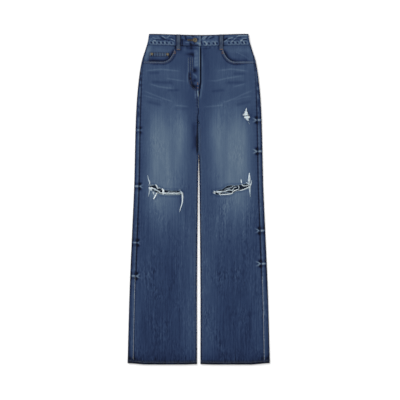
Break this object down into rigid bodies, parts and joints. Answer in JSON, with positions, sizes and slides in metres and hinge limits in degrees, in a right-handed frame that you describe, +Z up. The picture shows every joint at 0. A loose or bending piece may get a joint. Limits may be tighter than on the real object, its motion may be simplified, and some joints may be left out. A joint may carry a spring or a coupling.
{
  "type": "ripped jeans",
  "caption": "Wide-leg denim trousers laid flat, front up, with faded thighs, torn knees, scooped front pockets, belt loops and a closed button fly.",
  "frame": {"origin": "On the floor under the middle of the garment's box.", "axes": "+Y runs from the hems to the waist, +Z points up from the floor, +X to the wearer's left."},
  "size_m": [0.4686, 1.091, 0.0135],
  "materials": {
    "denim": "washed twill",
    "denim_trim": "washed twill",
    "yarn": "undyed cotton",
    "brass": "antique",
    "zip_tape": "woven tape"
  },
  "bodies": {
    "root": {"front_right": "denim", "front_left": "denim", "back_right": "denim", "back_left": "denim", "yoke_right": "denim", "yoke_left": "denim", "waistband": "denim", "pocket_facing_right": "denim", "pocket_facing_left": "denim", "coin_pocket": "denim", "back_pocket_right": "denim", "back_pocket_left": "denim", "hem_right": "denim_trim", "hem_left": "denim_trim", "belt_loop_front_right": "denim_trim", "belt_loop_front_left": "denim_trim", "belt_loop_back_right": "denim_trim", "belt_loop_back_centre": "denim_trim", "belt_loop_back_left": "denim_trim", "zip": "zip_tape", "button": "brass", "coin_rivet_1": "brass", "coin_rivet_2": "brass", "knee_yarns_right": "yarn", "knee_tail_right": "yarn", "knee_yarns_left": "yarn", "knee_tail_left": "yarn", "thigh_yarns_left": "yarn"}
  },
  "joints": []
}
